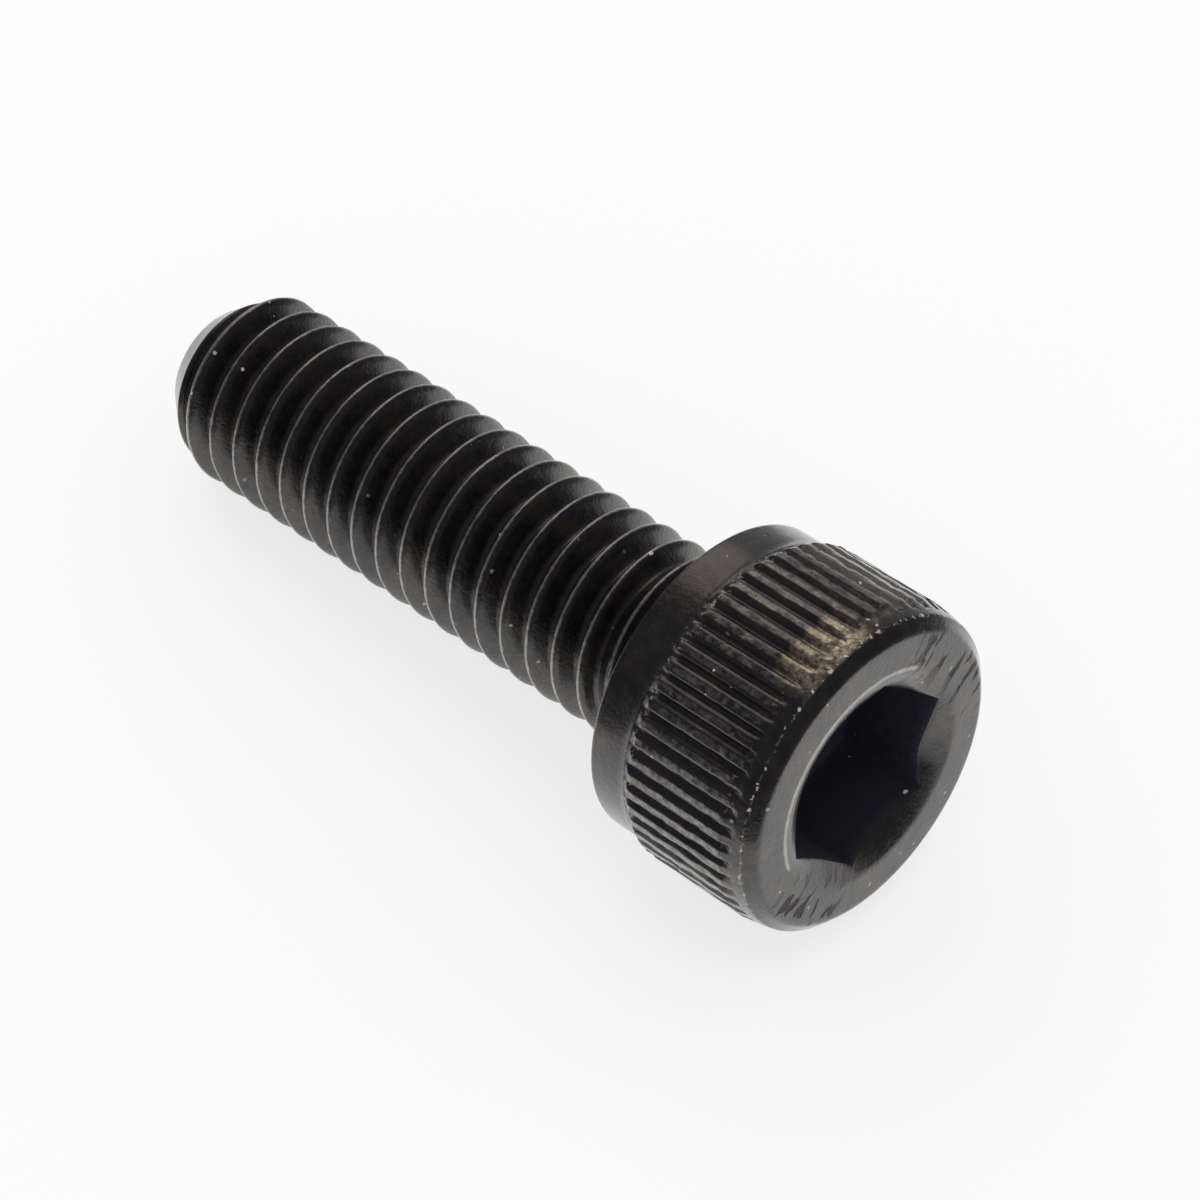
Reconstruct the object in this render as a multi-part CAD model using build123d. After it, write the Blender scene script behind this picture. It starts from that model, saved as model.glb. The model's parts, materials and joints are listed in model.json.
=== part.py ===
from build123d import *
import math
import os

# Socket head cap screw, M6 x 20, threaded to the head, with a straight-knurled
# head and a 5 mm hexagon socket. One cold-headed and rolled piece of steel.
#
# Millimetres. The screw is built upright, with its axis on Z, the bearing face
# at Z = 0, the head above it and the thread below, and is then laid down as it
# comes to rest on a table. Its sizes lie inside the limits for the M6 size.

# Thread: metric coarse, 60 degree flanks
pitch = 1.0
thread_dia = 5.84  # over the crests; a rolled 6 mm thread runs a little under
crest_flat = 0.13
root_flat = 0.17
spans = 24  # flats in a turn, under 0.03 mm inside the true helix
length = 19.9  # under the head
first_crest = 0.44  # height of the first crest above the tip, on the X side
tip_dia = 3.9  # flat at the end of the tip's chamfer
tip_chamfer = 1.3  # the chamfer's length along the axis
neck_dia = 5.36  # the plain blank between thread and head
neck_flare = 0.25  # the small fillet under the head, as a cone
root_runout = (-2.4, -1.25)  # the grooves' floor climbs to the neck between these
crest_runout = (-1.4, -1.05)  # and the crests fall to the neck between these

# Head
head_height = 5.85
collar_dia = 9.38  # plain band beside the bearing face
collar_height = 1.25
collar_edge = 0.07
knurl_dia = 9.8  # over the ridges
knurl_root_dia = 9.44
knurl_start = 1.55  # full height from here; the ridge ends slope to the collar
knurl_end = 4.85  # grooves full depth to here; the head tapers from here
knurl_fade = 0.8
teeth = 54
ridge_flat = 0.27
groove_lean = 0.07  # of each wall, over the groove's depth
shoulder_dia = 9.52  # where the taper meets the top edge's chamfer
shoulder_height = 5.54
face_dia = 8.9

# Hexagon socket
across_flats = 5.14
socket_turn = 44.2  # from X to a corner, seen from above the head, in degrees
socket_depth = 3.0
socket_cone = 0.6
countersink_dia = 6.6
countersink_slope = 27  # degrees from the head's face

# Worked out from the above
neck, crest = neck_dia / 2, thread_dia / 2
flank_height = (pitch - crest_flat - root_flat) / 2  # along the axis
root = crest - flank_height / math.tan(math.radians(30))
ridge, groove = knurl_dia / 2, knurl_root_dia / 2


def turned(outline):
    """The solid of revolution about Z of a closed outline of (radius, height)."""
    return revolve(Plane.XZ * make_face(outline), Axis.Z)


def thread_rod(start, turns):
    """A threaded rod whose first groove starts at height start, on the X side.

    Four straight-sided strips run along each span of each turn: root, flank,
    crest and flank. Their edges join points on true helices, so every half
    section at a span's end is the true thread form. Each end of the rod is a
    ramp closed by one plane half section, and is meant to be cut away.
    """
    corners = [
        (root, 0),
        (root, root_flat),
        (crest, root_flat + flank_height),
        (crest, root_flat + flank_height + crest_flat),
        (root, pitch),
    ]

    def chord(radius, height, span):
        ends = []
        for step in (span, span + 1):
            turn = step / spans
            x, y = (radius * f(math.tau * turn) for f in (math.cos, math.sin))
            ends.append((x, y, start + height + pitch * turn))
        return Edge.make_line(*ends)

    def strips(section, span):
        edges = [chord(*corner, span) for corner in section]
        return [Face.make_surface_from_curves(*pair) for pair in zip(edges, edges[1:])]

    last = turns * spans
    faces = [face for span in range(last) for face in strips(corners, span)]
    for first, rise in ((0, 0), (last - spans, pitch)):
        for span in range(first, first + spans):
            faces += strips([(0, rise), (root, rise)], span)
    for end in (start, start + turns * pitch):
        centre = [(0, pitch * step / spans) for step in range(spans, -1, -1)]
        section = [Vector(x, 0, end + up) for x, up in corners + centre]
        faces.append(Face(Wire.make_polygon(section)))
    return Solid(Shell(faces))


def shank():
    """The threaded rod, chamfered at the tip, its crests falling to the neck."""
    crest_middle = root_flat + flank_height + crest_flat / 2
    start = -length + first_crest - crest_middle - pitch
    tip, outside = tip_dia / 2, crest + 0.3
    chamfer = tip_chamfer / (crest - tip)
    fall = (crest_runout[1] - crest_runout[0]) / (crest - neck)
    inside = neck - 0.1
    bounds = Polyline(
        (0, -length),
        (tip, -length),
        (outside, -length + (outside - tip) * chamfer),
        (outside, crest_runout[0] - (outside - crest) * fall),
        (inside, crest_runout[1] + (neck - inside) * fall),
        (0, crest_runout[1] + (neck - inside) * fall),
        close=True,
    )
    return thread_rod(start, math.ceil(length)) & turned(bounds)


def head_blank():
    """The neck, collar, ridge stock and shoulder, before any cut."""
    collar = collar_dia / 2
    climb = (root_runout[1] - root_runout[0]) / (neck - root)
    inside = root - 0.1
    foot = root_runout[0] - (root - inside) * climb
    return turned(
        Polyline(
            (0, foot),
            (inside, foot),
            (neck, root_runout[1]),
            (neck, -neck_flare),
            (neck + neck_flare, 0),
            (collar - collar_edge, 0),
            (collar, collar_edge),
            (collar, collar_height),
            (ridge, knurl_start),
            (ridge, knurl_end),
            (shoulder_dia / 2, shoulder_height),
            (face_dia / 2, head_height),
            (0, head_height),
            close=True,
        )
    )


def knurl_grooves():
    """One wedge-sided groove, its floor climbing out at the top, set all round."""
    over = 0.1  # past the ridges, for a clean cut
    floor = math.tau * ridge / teeth - ridge_flat - 2 * groove_lean
    deep, far = groove, ridge + over
    climb = (far - deep) * knurl_fade / (ridge - groove)
    half = floor / 2
    wide = half + (far - deep) * groove_lean / (ridge - groove)

    def section(z, rise):
        return [
            Vector(deep, -half, z),
            Vector(far, -wide, z + rise),
            Vector(far, wide, z + rise),
            Vector(deep, half, z),
        ]

    low = section(collar_height - 0.3, 0)
    high = section(knurl_end, climb)
    rings = [low, high] + [
        [low[i], low[i - 1], high[i - 1], high[i]] for i in range(len(low))
    ]
    wedge = Solid(Shell([Face(Wire.make_polygon(ring)) for ring in rings]))
    return [place * wedge for place in PolarLocations(0, teeth)]


def socket():
    """The hexagon hole, the shallow cone below it and the countersink above."""
    floor, above = head_height - socket_depth, head_height + 1
    hexagon = RegularPolygon(across_flats / 2, 6, major_radius=False)
    hole = extrude(Rot(0, 0, socket_turn) * hexagon, above - floor)
    reach = across_flats / 2 - 0.1
    point = turned(
        Polyline((0, floor - socket_cone), (reach, floor), (0, floor + 1), close=True)
    )
    mouth = countersink_dia / 2
    drop = mouth * math.tan(math.radians(countersink_slope))
    sink = turned(
        Polyline(
            (0, head_height - drop), (mouth, head_height), (mouth, above), (0, above),
            close=True,
        )
    )
    return Pos(0, 0, floor) * hole + point + sink


def resting_place():
    """The plane that the upright screw's own XY plane moves to, lying down.

    The screw touches the table under two neighbouring ridges, at the collar end
    of the knurl, and under the last full crest before the tip.
    """
    half_gap = math.pi / teeth - ridge_flat / knurl_dia
    head_drop = ridge * math.cos(half_gap)
    last_crest = length - first_crest - 1.5 * pitch + crest_flat / 2
    lean = math.atan2(head_drop - crest, knurl_start + last_crest)
    cos, sin = math.cos(lean), math.sin(lean)
    right = head_height * cos + face_dia / 2 * sin
    left = -length * cos - tip_dia / 2 * sin
    return Plane(
        origin=(-(left + right) / 2, 0, head_drop * cos - knurl_start * sin),
        x_dir=(-sin, 0, cos),
        z_dir=(cos, 0, sin),
    )


def cap_screw():
    head = head_blank().cut(*knurl_grooves()) - socket()
    return resting_place().location * (head + shank()).solid()


os.makedirs("parts", exist_ok=True)
export_step(cap_screw(), "parts/cap_screw.step")
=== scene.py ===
"""A socket head cap screw, M6 x 20, lying on a pale table."""

import json
import math

import bmesh
import bpy
from bpy.props import (
    FloatProperty,
    FloatVectorProperty,
    IntProperty,
    PointerProperty,
)
from mathutils import Matrix, Vector


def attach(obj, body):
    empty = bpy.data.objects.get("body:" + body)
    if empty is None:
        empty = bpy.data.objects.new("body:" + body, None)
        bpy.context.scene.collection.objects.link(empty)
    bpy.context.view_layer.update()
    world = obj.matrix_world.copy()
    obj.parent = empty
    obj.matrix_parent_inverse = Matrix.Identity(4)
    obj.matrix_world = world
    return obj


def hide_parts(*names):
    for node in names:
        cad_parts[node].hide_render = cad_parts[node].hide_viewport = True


bl_info = {
    "name": "Socket Head Cap Screw",
    "version": (1, 0, 0),
    "blender": (4, 5, 0),
    "location": "View3D > Sidebar > Cap Screw",
    "description": "Makes a black-oxide socket head cap screw and its stage",
    "category": "Add Mesh",
}

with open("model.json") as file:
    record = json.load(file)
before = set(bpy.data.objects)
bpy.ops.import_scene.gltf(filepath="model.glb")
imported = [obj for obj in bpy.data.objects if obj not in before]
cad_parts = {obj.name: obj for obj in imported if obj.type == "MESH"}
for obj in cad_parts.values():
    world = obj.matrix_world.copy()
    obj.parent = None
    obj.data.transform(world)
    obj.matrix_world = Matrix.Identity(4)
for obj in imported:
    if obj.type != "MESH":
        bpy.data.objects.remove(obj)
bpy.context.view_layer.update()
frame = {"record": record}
marks = {m["name"]: Vector(m["pos_m"]) for m in frame["record"]["mounts"]}
tip, top = marks["thread"], marks["hex_socket"]

SCREW = "cap_screw_black_oxide"
WELD = 0.000002  # points this close become one, in metres
CHAMFER_SLOPE = 0.78  # of the head's top edge, from the shoulder up
FLANK = math.tan(math.radians(30))  # a 60 degree thread's half angle

# Places on the head: middle in radians from the upper side, width, and soft edge
KNOCKS = ((-1.077, 0.75, 0.3), (2.327, 0.5, 0.25))
STEEP_SIDE = (-2.69, 1.0, 0.6)
# Soft edges of the knocked band, whose colours are partly a painted warm sheen, and of the lip's
# band, partly a painted highlight
KNOCK_AND_SHEEN_SOFT, LIP_WEAR_AND_HIGHLIGHT_SOFT = 0.16, 0.3

# The stage, in metres and degrees
LOOK_AT = Vector((0.002268, 0.00037, 0.004))
BOARD_SHIFT, BOARD_CORNERS = 0.006, 96
LAMP_FROM, LAMP_DISTANCE, LAMP_SIZE, LAMP_WATTS = (141, 42), 0.4, 0.28, 0.17
WALL_FROM, WALL_SHARE = (124, 12), 0.2
ROOM_LIGHT, GROUND_WHITE = 0.92, 0.72


def linear(code):
    """An sRGB hex colour as linear red, green, blue and alpha."""
    parts = [int(code[i : i + 2], 16) / 255 for i in (1, 3, 5)]
    return [p / 12.92 if p <= 0.04045 else ((p + 0.055) / 1.055) ** 2.4 for p in parts] + [1]


def size(mm, name, description):
    """A length property given in millimetres."""
    return FloatProperty(
        name=name, description=description, default=mm / 1000, min=0, precision=5, unit="LENGTH"
    )


def turn(degrees, name, description):
    """An angle property given in degrees."""
    return FloatProperty(
        name=name, description=description, default=math.radians(degrees), unit="ROTATION"
    )


def colour(code, name, description):
    """A colour property given as an sRGB hex code."""
    return FloatVectorProperty(
        name=name, description=description, default=linear(code), size=4, min=0, max=1,
        subtype="COLOR",
    )


class ThreadSizes(bpy.types.PropertyGroup):
    """Sizes of the rolled thread, and how finely it is meshed"""

    pitch: size(1.0, "Pitch", "From one crest to the next")
    crest_dia: size(5.84, "Crest diameter", "Over the thread")
    crest_flat: size(0.13, "Crest flat", "Width of the thread's crest")
    root_flat: size(0.17, "Root flat", "Width of the groove's floor")
    crest_round: size(0.03, "Crest round", "How softly the rolled crest turns")
    root_round: size(0.07, "Root round", "How softly the groove's floor turns")
    first_crest: size(0.44, "First crest", "Height of the first crest above the tip")
    tip_dia: size(3.9, "Tip diameter", "Flat at the end of the chamfer")
    tip_chamfer: size(1.3, "Tip chamfer", "Its length along the axis")
    neck_dia: size(5.36, "Neck diameter", "Plain blank between thread and head")
    neck_fillet: size(0.25, "Neck fillet", "Radius under the head")
    root_runout: size(2.4, "Root run-out", "Where the grooves start to climb, below the head")
    root_end: size(1.25, "Root end", "Where the grooves reach the neck")
    crest_runout: size(1.4, "Crest run-out", "Where the crests start to fall")
    crest_end: size(1.05, "Crest end", "Where the crests reach the neck")
    rows: IntProperty(name="Rows", description="Rows of faces in one pitch", default=12, min=8)
    columns: IntProperty(name="Columns", description="Faces in one turn", default=216, min=54)


class HeadSizes(bpy.types.PropertyGroup):
    """Sizes of the head, its knurl and its socket, and places of its wear and knocks, which also
    carry a painted warm sheen and a painted highlight
    """

    height: size(5.85, "Height", "Bearing face to head face")
    collar_dia: size(9.38, "Collar diameter", "Plain band beside the bearing face")
    collar_height: size(1.25, "Collar height", "From the bearing face")
    collar_round: size(0.09, "Collar round", "Radius of the collar's lower edge")
    knurl_dia: size(9.8, "Knurl diameter", "Over the ridges")
    knurl_depth: size(0.18, "Knurl depth", "Ridge to groove")
    knurl_start: size(1.55, "Knurl start", "Ridges at full height from here")
    knurl_end: size(4.85, "Knurl end", "Grooves start to climb out here")
    knurl_fade: size(0.8, "Knurl fade", "Length of the grooves' climb")
    ridge_flat: size(0.31, "Ridge flat", "Width of a ridge's crest")
    groove_lean: size(0.06, "Groove lean", "Of each groove wall, over its depth")
    teeth: IntProperty(name="Teeth", description="Ridges round the head", default=54, min=12)
    shoulder_dia: size(9.52, "Shoulder diameter", "Where the taper meets the top edge's chamfer")
    shoulder_height: size(5.54, "Shoulder height", "From the bearing face")
    face_dia: size(8.6, "Face diameter", "The flat of the head")
    face_round: size(0.3, "Face round", "Radius from the flat to the top edge's chamfer")
    across_flats: size(5.14, "Across flats", "The hexagon socket")
    socket_turn: turn(44.2, "Socket turn", "From the upper side to a corner")
    socket_depth: size(3.0, "Socket depth", "To the edge of its floor")
    socket_cone: size(0.6, "Socket cone", "Depth of the floor's cone")
    mouth_dia: size(6.7, "Mouth diameter", "Where the face turns into the socket's countersink")
    mouth_slope: turn(8, "Mouth slope", "Of the countersink where it leaves the head's face")
    mouth_curl: FloatProperty(name="Mouth curl", description="How fast it steepens, per metre",
                              default=370, min=0)
    mouth_skew: FloatProperty(name="Mouth skew", description="Steeper on one side by this slope",
                              default=0.27, min=0)
    mouth_round: size(0.04, "Mouth round", "How softly the face turns into the countersink")
    # The knocked band really flattens the ridges; its brown and cream colours are partly a painted
    # warm sheen
    bruise_turn: turn(7.3, "Bruise", "Where a knock flattened the ridges, from the upper side")
    bruise_width: turn(19, "Bruise width", "Round the head")
    bruise_start: size(4.2, "Bruise start", "From the bearing face")
    # The bright lip is partly rubbed steel and partly a painted highlight, on one side of the mouth
    # only
    lip_wear_and_highlight_turn: turn(33, "Bright lip", "Middle of the rubbed part of the socket's mouth")
    lip_wear_and_highlight_width: turn(130, "Bright lip width", "Round the mouth")


class Finish(bpy.types.PropertyGroup):
    """Colours of the steel's film, its wear and what lies on it, some of which also stand for a
    painted warm sheen and a painted highlight
    """

    oxide: colour("#524f49", "Oxide", "Black oxide film, thin parts")
    oxide_deep: colour("#333237", "Deep oxide", "Black oxide film, thick parts")
    # Brown: real oil and rust in random stains, and a painted warm sheen in the knocked band
    brown: colour("#5c4f43", "Brown film", "Old oil and early rust on the film")
    inside: colour("#5b5a68", "Socket film", "Black oxide where nothing rubs it")
    # Bare steel: real wear on edges, and a painted highlight on one side of the socket's lip
    steel: colour("#bab6ad", "Bare steel", "Where edges have rubbed bright")
    # Cream: partly scuffs and partly a painted warm sheen in the knocked band
    chafe_and_sheen: colour("#cfc3a6", "Chafed film", "Cream scuffs where the head was knocked")
    pit: colour("#241f1d", "Knock", "Dark bottom of a small knock")
    dust: colour("#c9c2b4", "Dust", "Lint and dust specks")


class Stage(bpy.types.PropertyGroup):
    """Table, light and camera"""

    floor: colour("#fafafa", "Floor", "Pale table top")
    board: size(32, "Table reach", "Radius of the round white board under the screw")
    light: FloatProperty(name="Light", description="Strength of the soft lamps", default=1.0, min=0)
    azimuth: turn(-44.7917, "Camera azimuth", "Round the object from +X")
    elevation: turn(49.021, "Camera elevation", "Above the table")
    roll: turn(-1.263, "Camera roll", "Clockwise lean of the camera")
    distance: size(120.22, "Camera distance", "From the point it looks at")
    lens: FloatProperty(name="Lens", description="Focal length on a 36 mm sensor, in mm",
                        default=129.557, min=10)


def add(tree, kind, inputs=(), **settings):
    """Adds a node with its settings, and fills or links its inputs.

    A kind in capitals is the operation of a Math node.
    """
    if kind.isupper():
        settings["operation"], kind = kind, "ShaderNodeMath"
    node = tree.nodes.new(kind)
    for name, value in settings.items():
        setattr(node, name, value)
    for key, value in inputs.items() if isinstance(inputs, dict) else enumerate(inputs):
        if isinstance(value, bpy.types.Node):
            value = value.outputs[0]
        if isinstance(value, bpy.types.NodeSocket):
            tree.links.new(value, node.inputs[key])
        elif value is not None:
            node.inputs[key].default_value = value
    return node


def new_tree(name, inputs):
    """A geometry tree with named inputs; returns it and its input sockets."""
    tree = bpy.data.node_groups.new(name, "GeometryNodeTree")
    tree.interface.new_socket("Geometry", in_out="INPUT", socket_type="NodeSocketGeometry")
    for label, value in inputs.items():
        kind = "NodeSocketInt" if isinstance(value, int) else "NodeSocketFloat"
        if label == "Material":
            kind = "NodeSocketMaterial"
        socket = tree.interface.new_socket(label, in_out="INPUT", socket_type=kind)
        if kind != "NodeSocketMaterial":
            socket.default_value = value
    tree.interface.new_socket("Geometry", in_out="OUTPUT", socket_type="NodeSocketGeometry")
    return tree, add(tree, "NodeGroupInput").outputs


def end_tree(tree, given, made):
    """Welds what was made, coats it and sends it out."""
    welded = add(tree, "GeometryNodeMergeByDistance", {"Geometry": made, "Distance": WELD})
    real = add(tree, "GeometryNodeRealizeInstances", (welded,))
    coated = add(tree, "GeometryNodeSetMaterial", {"Geometry": real, "Material": given["Material"]})
    add(tree, "NodeGroupOutput", (coated,))
    return tree


def modify(obj, tree, inputs):
    """Puts the tree on the object with these values for its named inputs."""
    modifier = obj.modifiers.new(tree.name, "NODES")
    modifier.node_group = tree
    for item in tree.interface.items_tree:
        if item.in_out == "INPUT" and item.name in inputs:
            modifier[item.identifier] = inputs[item.name]


def lathe_grid(tree, columns, rows):
    """A grid of columns round the axis; returns its mesh, column and row."""
    across = add(tree, "FunctionNodeIntegerMath", (columns, 1))
    grid = add(tree, "GeometryNodeMeshGrid", (1.0, 1.0, across, rows))
    index = add(tree, "GeometryNodeInputIndex")
    column = add(tree, "FunctionNodeIntegerMath", (index, rows), operation="DIVIDE_FLOOR")
    row = add(tree, "FunctionNodeIntegerMath", (index, rows), operation="MODULO")
    return grid, column, row


def set_round(tree, grid, turned, radius, height, weights):
    """Places the grid's points at these turns, radii and heights, with named weights."""
    angle = add(tree, "MULTIPLY", (turned, math.tau))
    x = add(tree, "MULTIPLY", (add(tree, "COSINE", (angle,)), radius))
    y = add(tree, "MULTIPLY", (add(tree, "SINE", (angle,)), radius))
    place = add(tree, "ShaderNodeCombineXYZ", (x, y, height))
    for name, value in weights.items():
        grid = add(
            tree, "GeometryNodeStoreNamedAttribute",
            {"Geometry": grid, "Name": name, "Value": value},
        )
    return add(tree, "GeometryNodeSetPosition", {"Geometry": grid, "Position": place})


def thread_tree(inputs):
    """A helical grid whose rows run along the thread, joined to what comes in."""
    tree, given = new_tree("rolled_thread", inputs)
    pitch, crest, neck, flat, root_flat = (
        given[n] for n in ("Pitch", "Crest Radius", "Neck Radius", "Crest Flat", "Root Flat")
    )
    per, length = given["Rows"], given["Length"]
    ramp_round, tip_round = 0.00003, 0.00004  # metres

    # Two pitches of rows before the first crest close the tip
    turns = add(tree, "DIVIDE", (length, pitch))
    rows = add(tree, "MULTIPLY_ADD", (add(tree, "ADD", (turns, 2.6)), per, 1.0))
    grid, column, row = lathe_grid(tree, given["Columns"], rows)
    turned = add(tree, "DIVIDE", (column, given["Columns"]))
    along = add(tree, "SUBTRACT", (add(tree, "DIVIDE", (row, per)), 2.0))
    start = add(tree, "SUBTRACT", (given["First Crest"], length))
    free = add(tree, "MULTIPLY_ADD", (add(tree, "ADD", (along, turned)), pitch, start))
    low = add(tree, "MULTIPLY", (length, -1.0))
    height = add(tree, "MINIMUM", (add(tree, "MAXIMUM", (free, low)), 0.0))

    # Thread form from the distance to the nearest crest
    away = add(tree, "PINGPONG", (add(tree, "ADD", (along, 4.0)), 0.5))
    away = add(tree, "MULTIPLY", (away, pitch))
    flats = add(tree, "ADD", (flat, root_flat))
    flank = add(tree, "MULTIPLY", (add(tree, "SUBTRACT", (pitch, flats)), 0.5))
    floor = add(tree, "MULTIPLY", (add(tree, "SUBTRACT", (pitch, root_flat)), 0.5))
    rise = add(tree, "DIVIDE", (flank, FLANK))
    root = add(tree, "SUBTRACT", (crest, rise))
    slope = add(tree, "DIVIDE", (add(tree, "SUBTRACT", (floor, away)), FLANK))
    form = add(tree, "ADD", (root, slope))
    form = add(tree, "SMOOTH_MIN", (form, crest, given["Crest Round"]))
    form = add(tree, "SMOOTH_MAX", (form, root, given["Root Round"]))

    # Run-outs under the head, the fillet, and the chamfer at the tip
    fall = add(tree, "ShaderNodeMapRange",
               (height, given["Crest Run-out"], given["Crest End"], 1.0, 0.0))
    climb = add(tree, "ShaderNodeMapRange",
                (height, given["Root Run-out"], given["Root End"], root, neck))
    fillet = given["Fillet"]
    inside = add(tree, "MAXIMUM", (add(tree, "ADD", (height, fillet)), 0.0))
    square = add(tree, "SUBTRACT", (
        add(tree, "MULTIPLY", (fillet, fillet)), add(tree, "MULTIPLY", (inside, inside))))
    reach = add(tree, "SQRT", (add(tree, "MAXIMUM", (square, 0.0)),))
    bend = add(tree, "SUBTRACT", (fillet, reach))
    above = add(tree, "SMOOTH_MAX", (add(tree, "SUBTRACT", (form, climb)), 0.0, ramp_round))
    form = add(tree, "MULTIPLY_ADD", (above, fall, climb))
    form = add(tree, "ADD", (form, bend))
    cone = add(tree, "ShaderNodeMapRange",
               (height, low, add(tree, "SUBTRACT", (given["Tip Chamfer"], length)),
                given["Tip Radius"], crest), clamp=False)
    form = add(tree, "SMOOTH_MIN", (form, cone, tip_round))
    # The first four rows close the tip's flat
    tip_row = add(tree, "MINIMUM", (add(tree, "DIVIDE", (row, 4.0)), 1.0))
    share = add(tree, "POWER", (add(tree, "SUBTRACT", (1.0, tip_row)), 3.0))
    share = add(tree, "SUBTRACT", (1.0, share))
    radius = add(tree, "MULTIPLY", (form, share))

    # Worn crest: 1 on the crest line, 0 a flat's width from it
    crest_line = add(tree, "ShaderNodeMapRange", (away, 0.0, flat, 1.0, 0.0))
    full = add(tree, "ShaderNodeMapRange",
               (add(tree, "SUBTRACT", (crest, radius)), 0.0001, 0.0003, 1.0, 0.0))
    edge = add(tree, "MULTIPLY", (crest_line, full))

    made = set_round(tree, grid, turned, radius, height, {"edge": edge})
    both = add(tree, "GeometryNodeJoinGeometry", (made,))
    tree.links.new(given["Geometry"], both.inputs[0])
    return end_tree(tree, given, both)


# What a row of the head's outline carries besides its radius and height, from 0 to 1
OUTLINE_WEIGHTS = (
    "knurl", "hexagon", "sink", "rim", "bruise", "dings", "lip", "inside", "chips",
)


def head_tree(inputs):
    """Turns the incoming half outline round the axis, with knurl and hexagon."""
    tree, given = new_tree("knurled_head", inputs)
    ragged, pressed_in, spread = 0.00004, 0.00002, 0.00002  # metres
    outline = given["Geometry"]
    rows = add(tree, "GeometryNodeAttributeDomainSize", (outline,)).outputs["Point Count"]
    grid, column, row = lathe_grid(tree, given["Columns"], rows)

    # The first row has half the columns, to weld to the shank
    first = add(tree, "FunctionNodeCompare", {"A": add(tree, "ADD", (row, 0.0)), "B": 0.5},
                data_type="FLOAT", operation="LESS_THAN")
    odd = add(tree, "FunctionNodeIntegerMath", (column, 2), operation="MODULO")
    snapped = add(tree, "SUBTRACT", (column, add(tree, "MULTIPLY", (odd, first))))
    # Columns beside a ridge's edges move close to them, to keep the edges sharp
    per_tooth = add(tree, "DIVIDE", (given["Columns"], given["Teeth"]))
    place_in = add(tree, "FLOORED_MODULO", (column, per_tooth))
    before = add(tree, "COMPARE", (place_in, 2.0, 0.5))
    after = add(tree, "COMPARE", (place_in, 6.0, 0.5))
    moved = add(tree, "MULTIPLY", (add(tree, "SUBTRACT", (after, before)), 0.15))
    moved = add(tree, "MULTIPLY", (moved, add(tree, "SUBTRACT", (1.0, first))))
    turned = add(tree, "DIVIDE", (add(tree, "ADD", (snapped, moved)), given["Columns"]))

    place = add(tree, "ShaderNodeSeparateXYZ", (add(tree, "GeometryNodeInputPosition"),))
    fields = {
        name: add(tree, "GeometryNodeInputNamedAttribute", {"Name": name})
        for name in OUTLINE_WEIGHTS
    }
    fields |= {"radius": place.outputs["X"], "height": place.outputs["Z"]}
    weights = {
        name: add(tree, "GeometryNodeSampleIndex",
                  {"Geometry": outline, "Value": value, "Index": row})
        for name, value in fields.items()
    }
    plain, level = weights["radius"], weights["height"]

    around = add(tree, "MULTIPLY", (turned, math.tau))

    def near(where, width, soft):
        """1 over this width round a place on the head, fading to 0 past it."""
        off = add(tree, "WRAP", (add(tree, "SUBTRACT", (around, where)), math.pi, -math.pi))
        off = add(tree, "ABSOLUTE", (off,))
        half = add(tree, "MULTIPLY", (width, 0.5))
        end = add(tree, "ADD", (half, soft))
        return add(tree, "ShaderNodeMapRange", (off, half, end, 1.0, 0.0),
                   interpolation_type="SMOOTHSTEP")

    # Knocks and rolling left the ridges uneven
    spot = add(tree, "ShaderNodeCombineXYZ", (
        add(tree, "MULTIPLY", (add(tree, "COSINE", (around,)), plain)),
        add(tree, "MULTIPLY", (add(tree, "SINE", (around,)), plain)),
        level,
    ))
    uneven = add(tree, "ShaderNodeTexNoise", {"Vector": spot, "Scale": 1 / 0.0005, "Detail": 2.0})
    # A knock flattened the ridges in this band; the same band carries a painted warm sheen into the
    # material
    bruise = near(given["Knock And Sheen Turn"], given["Knock And Sheen Width"], KNOCK_AND_SHEEN_SOFT)
    bruise = add(tree, "MULTIPLY", (weights["bruise"], bruise))

    # One ridge of the knurl, from 0 in the groove to 1 on the crest
    teeth = add(tree, "PINGPONG", (add(tree, "MULTIPLY", (turned, given["Teeth"])), 0.5))
    tooth = add(tree, "MULTIPLY", (given["Knurl Radius"], math.tau))
    tooth = add(tree, "DIVIDE", (tooth, given["Teeth"]))
    off = add(tree, "MULTIPLY", (add(tree, "SUBTRACT", (0.5, teeth)), tooth))
    half_flat = add(tree, "MULTIPLY", (given["Ridge Flat"], 0.5))
    half_flat = add(tree, "MULTIPLY_ADD", (bruise, spread, half_flat))
    over = add(tree, "SUBTRACT", (off, half_flat))
    ridge = add(tree, "SUBTRACT", (1.0, add(tree, "DIVIDE", (over, given["Groove Lean"]))))
    ridge = add(tree, "MINIMUM", (add(tree, "MAXIMUM", (ridge, 0.0)), 1.0))
    # The crest is a little crowned
    crown = add(tree, "POWER", (add(tree, "DIVIDE", (off, given["Ridge Flat"])), 2.0))
    crown = add(tree, "MULTIPLY", (crown, add(tree, "MULTIPLY", (ridge, 0.15))))
    ridge = add(tree, "SUBTRACT", (ridge, crown))
    groove = add(tree, "MULTIPLY", (add(tree, "SUBTRACT", (1.0, ridge)), given["Knurl Depth"]))
    sunk = add(tree, "ShaderNodeMapRange", (uneven, 0.45, 0.7, 0.0, ragged))
    sunk = add(tree, "MULTIPLY", (sunk, add(tree, "MULTIPLY", (ridge, weights["knurl"]))))
    pressed = add(tree, "MULTIPLY", (bruise, pressed_in))
    cut = add(tree, "MULTIPLY_ADD", (groove, weights["knurl"], add(tree, "ADD", (sunk, pressed))))

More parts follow.
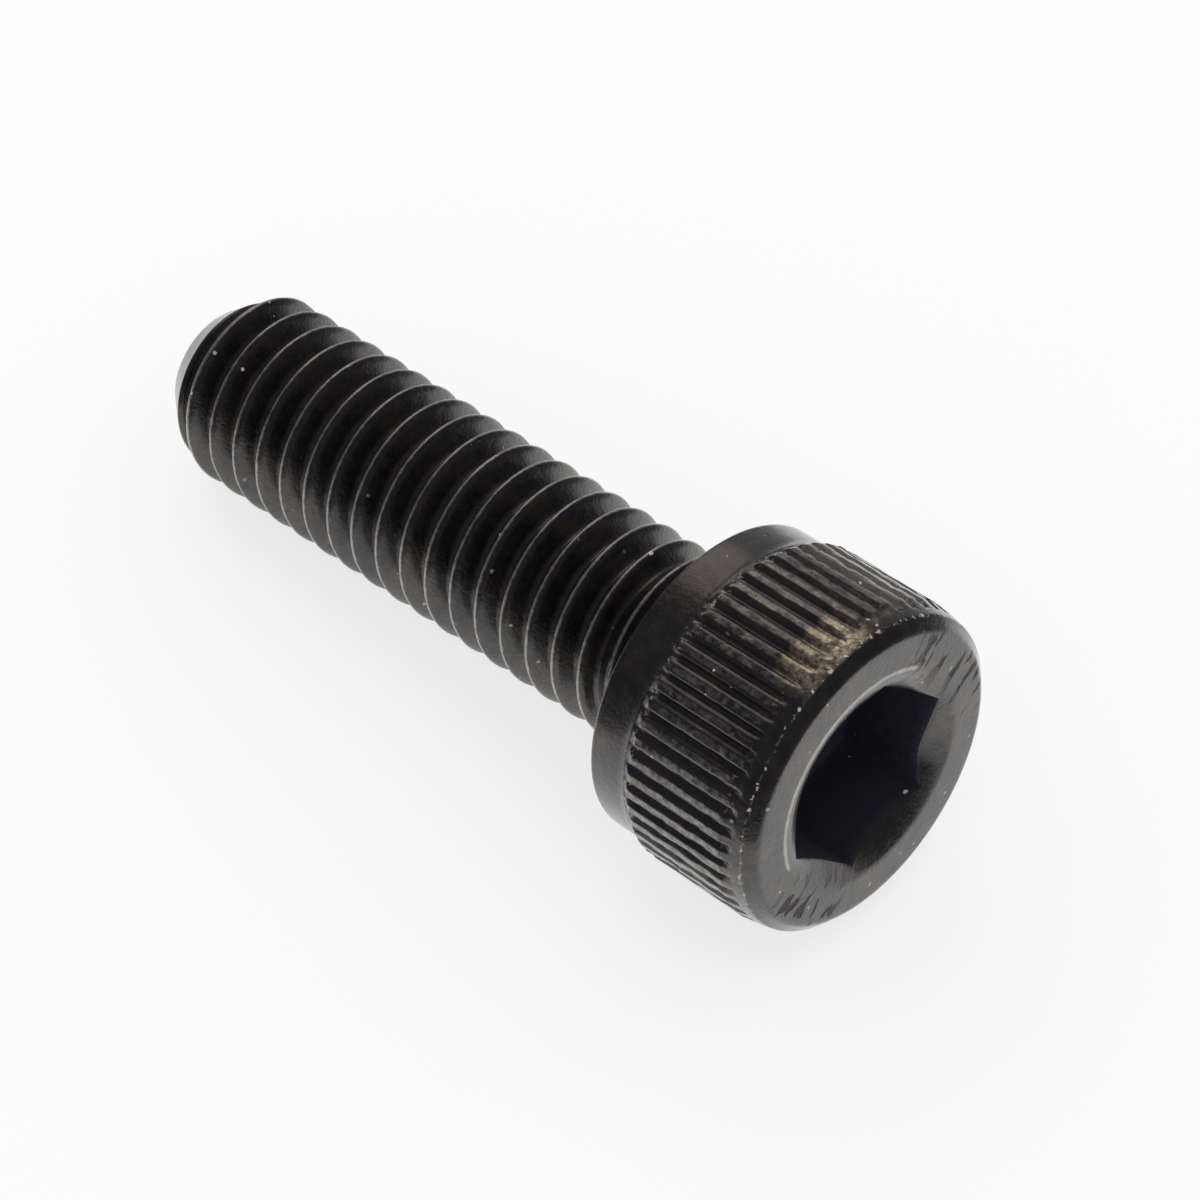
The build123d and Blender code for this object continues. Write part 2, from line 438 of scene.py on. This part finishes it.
    # Hexagon: distance to its nearest side, from the angle past a corner
    angle = add(tree, "SUBTRACT", (around, given["Socket Turn"]))
    past = add(tree, "FLOORED_MODULO", (angle, math.pi / 3))
    lean = add(tree, "COSINE", (add(tree, "SUBTRACT", (past, math.pi / 6)),))
    side = add(tree, "DIVIDE", (add(tree, "MULTIPLY", (given["Across Flats"], 0.5)), lean))
    hexagon = add(tree, "MULTIPLY", (side, weights["hexagon"]))
    radius = add(tree, "SUBTRACT", (add(tree, "ADD", (plain, hexagon)), cut))

    # The punch drew the round mouth down steeper and steeper to the hexagon
    reach = add(tree, "SUBTRACT", (given["Mouth Radius"], radius))
    fall = add(tree, "MULTIPLY_ADD", (
        add(tree, "MAXIMUM", (reach, 0.0)), given["Mouth Curl"], given["Mouth Fall"]))
    # It went in a little askew, so one side of the mouth is steeper
    fall = add(tree, "MULTIPLY_ADD", (near(*STEEP_SIDE), given["Mouth Skew"], fall))
    drop = add(tree, "MULTIPLY", (reach, fall))
    drop = add(tree, "SMOOTH_MAX", (drop, 0.0, given["Mouth Round"]))
    drop = add(tree, "MULTIPLY", (drop, weights["sink"]))
    height = add(tree, "SUBTRACT", (level, drop))

    # The flat of each crest is rubbed thin
    lines = add(tree, "ShaderNodeMapRange", (off, 0.0001, 0.0002, 0.68, 0.0))
    lines = add(tree, "MULTIPLY", (lines, weights["knurl"]))
    # The lip's rubbed band goes round one side of the mouth only, where it is partly a painted
    # highlight
    lip = near(given["Lip Wear And Highlight Turn"], given["Lip Wear And Highlight Width"], LIP_WEAR_AND_HIGHLIGHT_SOFT)
    lip = add(tree, "MULTIPLY", (weights["lip"], lip))
    edge = add(tree, "MAXIMUM", (lines, add(tree, "MAXIMUM", (weights["rim"], lip))))
    # Two places on the head's face took knocks
    dings = add(tree, "MAXIMUM", tuple(near(*place) for place in KNOCKS))
    dings = add(tree, "MULTIPLY", (dings, weights["dings"]))
    made = set_round(tree, grid, turned, radius, height,
                     {"edge": edge, "bruise": bruise, "dings": dings,
                      "inside": weights["inside"], "chips": weights["chips"]})
    return end_tree(tree, given, add(tree, "GeometryNodeFlipFaces", (made,)))


def head_outline(head, thread):
    """The head's half outline as rows of radius, height and the outline weights."""
    rows = []

    def run(end, steps=1, **last):
        """Straight rows from the last one to this radius and height."""
        goal = list(end) + [last.get(w, 0) for w in OUTLINE_WEIGHTS]
        begin = rows[-1] if rows else goal
        for step in range(1, steps + 1):
            rows.append([a + (b - a) * step / steps for a, b in zip(begin, goal)])

    collar, ridge, face = head.collar_dia / 2, head.knurl_dia / 2, head.face_dia / 2
    shoulder, mouth, top_z = head.shoulder_dia / 2, head.mouth_dia / 2, head.height
    fine, soft = 0.00003, head.collar_round
    inner = thread.neck_dia / 2 + thread.neck_fillet
    run((inner, 0))
    run((inner + 4 * fine, 0))
    run((collar - soft - 4 * fine, 0), 3)
    for step in range(4):
        lean = math.pi / 2 * step / 3
        run((collar - soft + soft * math.sin(lean), soft - soft * math.cos(lean)),
            rim=0.6 if step in (1, 2) else 0.2)
    run((collar, soft + 2 * fine))
    run((collar, head.collar_height - 2 * fine), 5)
    # The knurling wheel pushed up a thin lip where the ridges start
    run((collar + fine, head.collar_height), rim=0.6)
    run((collar + fine, head.collar_height + fine), rim=0.6)
    run((collar + fine, head.collar_height + 3 * fine), knurl=0.1, chips=0.4)
    run((ridge - fine, head.knurl_start - fine), 4, knurl=0.95, rim=0.5, chips=0.8)
    run((ridge, head.knurl_start + 2 * fine), knurl=1, chips=0.4)
    run((ridge, head.knurl_start + 5 * fine), knurl=1)
    run((ridge, head.bruise_start - 2 * fine), 15, knurl=1)
    # From here to the shoulder the knocked band's weight also carries a painted warm sheen
    run((ridge, head.bruise_start + fine), knurl=1, bruise=0.5)
    run((ridge, head.knurl_end - 2 * fine), 5, knurl=1, bruise=1)
    run((ridge, head.knurl_end), knurl=1, bruise=1, chips=0.3)
    # The head tapers while the grooves climb out to it
    taper = (ridge - shoulder) / (head.shoulder_height - head.knurl_end)
    gone = head.knurl_depth / (head.knurl_depth / head.knurl_fade + taper)
    run((ridge - taper * gone, head.knurl_end + gone), 6, bruise=1)
    near = head.shoulder_height - 2 * fine
    run((shoulder + 3 * fine * taper, near - fine), 2, rim=0.3, bruise=1)
    run((shoulder + fine * taper, near + fine), rim=0.6, bruise=1, chips=1)
    run((shoulder - fine / 2, head.shoulder_height + fine / 2), rim=0.7, bruise=0.4, chips=1)
    run((shoulder - 2 * fine, head.shoulder_height + 2 * fine * CHAMFER_SLOPE), rim=0.1)
    for degrees in (40, 32, 24, 16, 8, 0):
        lean = math.radians(degrees)
        run((face + head.face_round * math.sin(lean),
             top_z - head.face_round * (1 - math.cos(lean))),
            3 if degrees == 40 else 1, rim=0.15, dings=1 - degrees / 40)
    run((mouth + 5 * fine, top_z), 6, dings=1)
    # The lip weight marks the mouth's rubbed edge, partly a painted highlight
    for inward, lip in ((4, 0.2), (2.5, 0.7), (1, 1), (-0.5, 1), (-2, 0.8), (-3.5, 0.3)):
        run((mouth + inward * fine, top_z), sink=1, lip=lip, dings=0.6)
    # Rows go over from the round mouth to the hexagon
    run((0, top_z), 5, hexagon=1, sink=1, rim=0.4)
    run((0, top_z - fine), hexagon=0.995, sink=1, rim=0.2, inside=1)
    floor = head.height - head.socket_depth
    run((0, floor + 2 * fine), 8, hexagon=0.995, inside=1)
    run((0, floor - fine), hexagon=0.98, inside=1)
    run((0, floor - head.socket_cone), 3, inside=1)
    return rows


class CAPSCREW_OT_head(bpy.types.Operator):
    """Turn the head from its outline, with its knurl and hexagon socket"""

    bl_idname = "capscrew.head"
    bl_label = "Knurled Head"

    def execute(self, context):
        head, thread = context.scene.capscrew_head, context.scene.capscrew_thread
        rows = head_outline(head, thread)
        mesh = bpy.data.meshes.new(SCREW)
        mesh.from_pydata([(r[0], 0, r[1]) for r in rows], [], [])
        for place, name in enumerate(OUTLINE_WEIGHTS, 2):
            values = mesh.attributes.new(name, "FLOAT", "POINT")
            values.data.foreach_set("value", [r[place] for r in rows])
        screw = bpy.data.objects.new(SCREW, mesh)
        context.scene.collection.objects.link(screw)
        inputs = {
            "Columns": thread.columns * 2,
            "Teeth": head.teeth,
            "Knurl Radius": head.knurl_dia / 2,
            "Knurl Depth": head.knurl_depth,
            "Ridge Flat": head.ridge_flat,
            "Groove Lean": head.groove_lean,
            "Across Flats": head.across_flats,
            "Socket Turn": head.socket_turn,
            "Mouth Radius": head.mouth_dia / 2,
            "Mouth Fall": math.tan(head.mouth_slope),
            "Mouth Curl": head.mouth_curl,
            "Mouth Skew": head.mouth_skew,
            "Mouth Round": head.mouth_round,
            "Knock And Sheen Turn": head.bruise_turn,
            "Knock And Sheen Width": head.bruise_width,
            "Lip Wear And Highlight Turn": head.lip_wear_and_highlight_turn,
            "Lip Wear And Highlight Width": head.lip_wear_and_highlight_width,
            "Material": black_oxide(context.scene.capscrew_finish),
        }
        modify(screw, head_tree(inputs), inputs)
        return {"FINISHED"}


class CAPSCREW_OT_thread(bpy.types.Operator):
    """Roll the thread under the head and lay the finished screw down"""

    bl_idname = "capscrew.thread"
    bl_label = "Rolled Thread"

    def execute(self, context):
        thread, head = context.scene.capscrew_thread, context.scene.capscrew_head
        screw = bpy.data.objects.get(SCREW)
        if screw is None:
            raise RuntimeError("make the knurled head first")
        inputs = {
            "Columns": thread.columns,
            "Rows": thread.rows,
            "Pitch": thread.pitch,
            "Length": (top - tip).length - head.height,
            "Crest Radius": thread.crest_dia / 2,
            "Neck Radius": thread.neck_dia / 2,
            "Crest Flat": thread.crest_flat,
            "Root Flat": thread.root_flat,
            "Crest Round": thread.crest_round,
            "Root Round": thread.root_round,
            "First Crest": thread.first_crest,
            "Tip Radius": thread.tip_dia / 2,
            "Tip Chamfer": thread.tip_chamfer,
            "Fillet": thread.neck_fillet,
            "Root Run-out": -thread.root_runout,
            "Root End": -thread.root_end,
            "Crest Run-out": -thread.crest_runout,
            "Crest End": -thread.crest_end,
            "Material": black_oxide(context.scene.capscrew_finish),
        }
        modify(screw, thread_tree(inputs), inputs)
        graph = context.evaluated_depsgraph_get()
        mesh = bpy.data.meshes.new_from_object(screw.evaluated_get(graph))
        screw.modifiers.clear()
        screw.data = mesh
        mesh.name = SCREW
        mesh.transform(lying_down(head))
        close(mesh)
        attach(screw, "root")
        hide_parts("cap_screw")
        return {"FINISHED"}


def lying_down(head):
    """From the upright screw, bearing face at zero, to its place in the frame."""
    axis = (top - tip).normalized()
    side = Vector((0, 0, 1)).cross(axis).normalized() * -1
    up = side.cross(axis)
    middle = top - axis * head.height
    return Matrix.Translation(middle) @ Matrix((up, side, axis)).transposed().to_4x4()


def close(mesh):
    """Turns all faces outwards and stops if the mesh isn't one closed skin."""
    shape = bmesh.new()
    shape.from_mesh(mesh)
    bmesh.ops.dissolve_degenerate(shape, dist=1e-7, edges=shape.edges)
    bmesh.ops.recalc_face_normals(shape, faces=shape.faces)
    loose = [e for e in shape.edges if len(e.link_faces) != 2]
    for face in shape.faces:
        face.smooth = True
    shape.to_mesh(mesh)
    shape.free()
    if loose:
        raise RuntimeError(f"{len(loose)} edges of the screw aren't closed")


def black_oxide(finish):
    """Black oxide over cold-headed and rolled alloy steel, thinly oiled."""
    name = "black_oxide_on_rolled_steel"
    if name in bpy.data.materials:
        return bpy.data.materials[name]
    material = bpy.data.materials.new(name)
    material.use_nodes = True
    tree = material.node_tree
    tree.nodes.clear()
    place = add(tree, "ShaderNodeTexCoord").outputs["Object"]
    parts = {
        name: add(tree, "ShaderNodeAttribute", attribute_name=name).outputs["Fac"]
        for name in ("edge", "bruise", "dings", "inside", "chips")
    }
    # Blotches of about so many millimetres, and the range of each that counts
    noises = {
        "blotch": (1.6, 0.35, 0.65, 0.0, 1.0),
        "mottle": (0.35, 0.38, 0.62, 0.0, 1.0),
        "fine": (0.1, 0.36, 0.64, 0.0, 1.0),
        "stain": (0.8, 0.5, 0.75, 0.0, 0.5),
        "rubbing": (0.22, 0.0, 1.0, 0.0, 0.7),
        "scuffs_and_sheen": (0.16, 0.4, 0.58, 0.2, 1.0),
        "chip": (0.17, 0.57, 0.61, 0.0, 0.8),
    }
    for name, (mm, *levels) in noises.items():
        spots = add(tree, "ShaderNodeTexNoise", {
            "Vector": place, "Scale": 1000 / mm, "Detail": 3.0, "Roughness": 0.6})
        noises[name] = add(tree, "ShaderNodeMapRange", (spots, *levels))

    # The film's thickness varies, so it goes from grey to blue-black
    thin = add(tree, "MULTIPLY_ADD", (
        noises["blotch"], 0.4, add(tree, "MULTIPLY", (noises["mottle"], 0.35))))
    thin = add(tree, "MULTIPLY_ADD", (noises["fine"], 0.25, thin))
    # Oil and first rust stain it brown here and there, and most of all where it was knocked, where
    # the brown is partly a painted warm sheen
    stain = add(tree, "MULTIPLY", (parts["bruise"], 0.8))
    stain = add(tree, "MAXIMUM", (noises["stain"], stain))
    # Edges are rubbed through to steel here and there; on one side of the socket's lip the steel
    # colour is partly a painted highlight
    rub_and_lip_highlight = add(tree, "ADD", (noises["rubbing"], parts["edge"]))
    wear_and_lip_highlight = add(tree, "ShaderNodeMapRange", (rub_and_lip_highlight, 0.95, 1.3, 0.0, 0.85))
    # Cream over the knocked band: partly scuffs, partly a painted warm sheen
    scuffs_and_sheen = add(tree, "MULTIPLY", (noises["scuffs_and_sheen"], parts["bruise"]))

    # Short knocks that all run one way across the face, dark at the bottom
    across = add(tree, "ShaderNodeMapping", {
        "Vector": place, "Rotation": (math.radians(33), 0.0, 0.0),
        "Scale": (0.001, 0.0007, 0.00025)}, vector_type="TEXTURE")
    struck = add(tree, "ShaderNodeTexNoise",
                 {"Vector": across, "Scale": 1.0, "Detail": 0.5, "Distortion": 0.3})
    nick = add(tree, "ShaderNodeMapRange", (struck, 0.56, 0.6, 0.0, 0.95))
    nick = add(tree, "MULTIPLY", (nick, parts["dings"]))

    # Dust specks, drawn a little larger than real ones
    ragged = add(tree, "ShaderNodeTexNoise", {"Vector": place, "Scale": 1000 / 0.08})
    stray = add(tree, "ShaderNodeVectorMath", (ragged.outputs["Color"], (0.00009,) * 3, place),
                operation="MULTIPLY_ADD")
    cells = add(tree, "ShaderNodeTexVoronoi", {"Vector": stray, "Scale": 1000 / 0.6})
    chance = add(tree, "ShaderNodeSeparateXYZ", (cells.outputs["Color"],))
    reach = add(tree, "ShaderNodeMapRange", (chance, 0.0, 1.0, 0.02, 0.12))
    speck = add(tree, "LESS_THAN", (cells.outputs["Distance"], reach))
    speck = add(tree, "MULTIPLY", (speck, add(tree, "POWER", (chance.outputs["Y"], 1.5))))
    # Pale chips along the edges of the knurl and of the head's shoulder
    chip = add(tree, "MULTIPLY", (noises["chip"], parts["chips"]))
    speck = add(tree, "MAXIMUM", (speck, chip))

    tone = tuple(finish.oxide_deep)
    layers = (
        (thin, finish.oxide), (stain, finish.brown), (parts["inside"], finish.inside),
        (wear_and_lip_highlight, finish.steel), (scuffs_and_sheen, finish.chafe_and_sheen), (nick, finish.pit), (speck, finish.dust),
    )
    for cover, shade in layers:
        tone = add(tree, "ShaderNodeMix", {"Factor": cover, 6: tone, 7: tuple(shade)},
                   data_type="RGBA").outputs[2]

    rough = add(tree, "ShaderNodeMapRange", (noises["mottle"], 0.0, 1.0, 0.28, 0.35))
    for cover, more in ((wear_and_lip_highlight, 0.2), (speck, 0.3), (parts["inside"], 0.25)):
        rough = add(tree, "MULTIPLY_ADD", (cover, more, rough))
    metal = add(tree, "MULTIPLY_ADD", (speck, -1.0, 1.0))
    relief = add(tree, "MULTIPLY", (noises["mottle"], 0.5))
    # Knocks go in deepest, and specks stand up
    for cover, more in ((noises["fine"], 0.5), (nick, -7.0), (speck, 1.0)):
        relief = add(tree, "MULTIPLY_ADD", (cover, more, relief))
    bump = add(tree, "ShaderNodeBump",
               {"Strength": 0.65, "Distance": 0.00002, "Height": relief})
    # The oil over the film brightens it where it turns away from the eye
    steel = add(tree, "ShaderNodeBsdfPrincipled", {
        "Base Color": tone,
        "Metallic": metal,
        "Roughness": rough,
        "Normal": bump,
        "Coat Weight": add(tree, "MULTIPLY_ADD", (nick, -0.8, 0.9)),
        "Coat Roughness": 0.2,
        "Coat IOR": 1.5,
    })
    add(tree, "ShaderNodeOutputMaterial", (steel,))
    return material


class CAPSCREW_OT_stage(bpy.types.Operator):
    """Set the table, the soft lamps, the pale surroundings and the camera"""

    bl_idname = "capscrew.stage"
    bl_label = "Stage"

    def execute(self, context):
        stage = context.scene.capscrew_stage
        floor_mesh = bpy.data.meshes.new("table_top")
        beyond = direction(stage.azimuth, 0) * -BOARD_SHIFT
        corners = range(BOARD_CORNERS)
        around = [direction(math.tau * n / BOARD_CORNERS, 0) * stage.board for n in corners]
        floor_mesh.from_pydata(
            [(LOOK_AT.x + beyond.x + p.x, LOOK_AT.y + beyond.y + p.y, 0) for p in around],
            [], [tuple(corners)],
        )
        floor = bpy.data.objects.new("table_top", floor_mesh)
        context.scene.collection.objects.link(floor)
        floor_mesh.materials.append(pale_table(stage))

        # One soft lamp behind the screw, a little warm
        lamp = bpy.data.lights.new("soft_back", "AREA")
        lamp.shape, lamp.size, lamp.energy = "DISK", LAMP_SIZE, LAMP_WATTS * stage.light
        lamp.color = linear("#fff2e6")[:3]
        lit_from = direction(*map(math.radians, LAMP_FROM))
        lamp_object = bpy.data.objects.new("soft_back", lamp)
        lamp_object.location = LOOK_AT + lit_from * LAMP_DISTANCE
        lamp_object.rotation_mode = "QUATERNION"
        lamp_object.rotation_quaternion = lit_from.to_track_quat("Z", "Y")
        context.scene.collection.objects.link(lamp_object)

        back = direction(stage.azimuth, stage.elevation)
        data = bpy.data.cameras.new("camera")
        data.lens, data.sensor_width = stage.lens, 36
        data.clip_start, data.clip_end = 0.01, 10
        camera = bpy.data.objects.new("camera", data)
        camera.location = LOOK_AT + back * stage.distance
        camera.rotation_mode = "QUATERNION"
        level = back.to_track_quat("Z", "Y")
        camera.rotation_quaternion = level @ Matrix.Rotation(stage.roll, 3, "Z").to_quaternion()
        context.scene.collection.objects.link(camera)
        context.scene.camera = camera

        world = bpy.data.worlds.new("pale_studio")
        context.scene.world = world
        world.use_nodes = True
        tree = world.node_tree
        tree.nodes.clear()
        path = add(tree, "ShaderNodeLightPath")
        way_in = add(tree, "ShaderNodeTexCoord").outputs["Generated"]
        shown = add(tree, "MAXIMUM",
                    (path.outputs["Is Camera Ray"], path.outputs["Is Transmission Ray"]))
        # The metal mirrors a dim room with a pale wall, and not the white that the eye sees, since
        # under an all-white world the black film looks grey
        wall_at = tuple(direction(*map(math.radians, WALL_FROM)))
        facing = add(tree, "ShaderNodeVectorMath", (way_in, wall_at),
                     operation="DOT_PRODUCT").outputs["Value"]
        wall = add(tree, "ShaderNodeMapRange", (facing, 0.72, 0.98, 0.0, WALL_SHARE),
                   interpolation_type="SMOOTHSTEP")
        room = add(tree, "ShaderNodeMix", {"Factor": wall, 6: linear("#55535c"), 7: (1, 1, 1, 1)},
                   data_type="RGBA")
        even = [ROOM_LIGHT * stage.light] * 3 + [1]
        lit = add(tree, "ShaderNodeMix",
                  {"Factor": path.outputs["Is Glossy Ray"], 6: even, 7: room.outputs[2]},
                  data_type="RGBA")
        seen = add(tree, "ShaderNodeMix", {"Factor": shown, 6: lit.outputs[2], 7: (1, 1, 1, 1)},
                   data_type="RGBA")
        sky = add(tree, "ShaderNodeBackground", {"Color": seen.outputs[2], "Strength": 1.0})
        add(tree, "ShaderNodeOutputWorld", (sky,))
        context.scene.view_settings.view_transform = "Standard"
        return {"FINISHED"}


def direction(azimuth, elevation):
    """The unit vector at this angle round from +X and above the table."""
    flat = math.cos(elevation)
    return Vector((math.cos(azimuth) * flat, math.sin(azimuth) * flat, math.sin(elevation)))


def pale_table(stage):
    """Matt white laminate."""
    material = bpy.data.materials.new("pale_laminate")
    material.use_nodes = True
    tree = material.node_tree
    tree.nodes.clear()
    board = add(tree, "ShaderNodeBsdfDiffuse", {"Color": tuple(stage.floor)})
    path = add(tree, "ShaderNodeLightPath")
    # The eye, and the metal, see a nearly white ground that keeps a faint shadow
    white = add(tree, "ShaderNodeEmission", {"Color": (1, 1, 1, 1), "Strength": 1.0})
    direct = add(tree, "ADD", (path.outputs["Is Camera Ray"], path.outputs["Is Glossy Ray"]))
    direct = add(tree, "ADD", (direct, path.outputs["Is Transmission Ray"]))
    share = add(tree, "MULTIPLY", (direct, GROUND_WHITE), use_clamp=True)
    seen = add(tree, "ShaderNodeMixShader", (share, board, white))
    add(tree, "ShaderNodeOutputMaterial", (seen,))
    return material


class CAPSCREW_PT_panel(bpy.types.Panel):
    """Every setting, with a button for each group but the finish"""

    bl_label = "Cap Screw"
    bl_idname = "CAPSCREW_PT_panel"
    bl_space_type = "VIEW_3D"
    bl_region_type = "UI"
    bl_category = "Cap Screw"

    def draw(self, context):
        for group in ("head", "thread", "finish", "stage"):
            box = self.layout.box()
            sizes = getattr(context.scene, f"capscrew_{group}")
            for name in sizes.__annotations__:
                box.prop(sizes, name)
            if group != "finish":
                box.operator(f"capscrew.{group}")


classes = (
    ThreadSizes,
    HeadSizes,
    Finish,
    Stage,
    CAPSCREW_OT_head,
    CAPSCREW_OT_thread,
    CAPSCREW_OT_stage,
    CAPSCREW_PT_panel,
)


def register():
    for cls in classes:
        bpy.utils.register_class(cls)
    scene = bpy.types.Scene
    scene.capscrew_thread = PointerProperty(type=ThreadSizes)
    scene.capscrew_head = PointerProperty(type=HeadSizes)
    scene.capscrew_finish = PointerProperty(type=Finish)
    scene.capscrew_stage = PointerProperty(type=Stage)


def unregister():
    for group in ("thread", "head", "finish", "stage"):
        delattr(bpy.types.Scene, f"capscrew_{group}")
    for cls in reversed(classes):
        bpy.utils.unregister_class(cls)


def main():
    register()
    bpy.ops.capscrew.head()
    bpy.ops.capscrew.thread()
    bpy.ops.capscrew.stage()


if __name__ == "__main__":
    main()
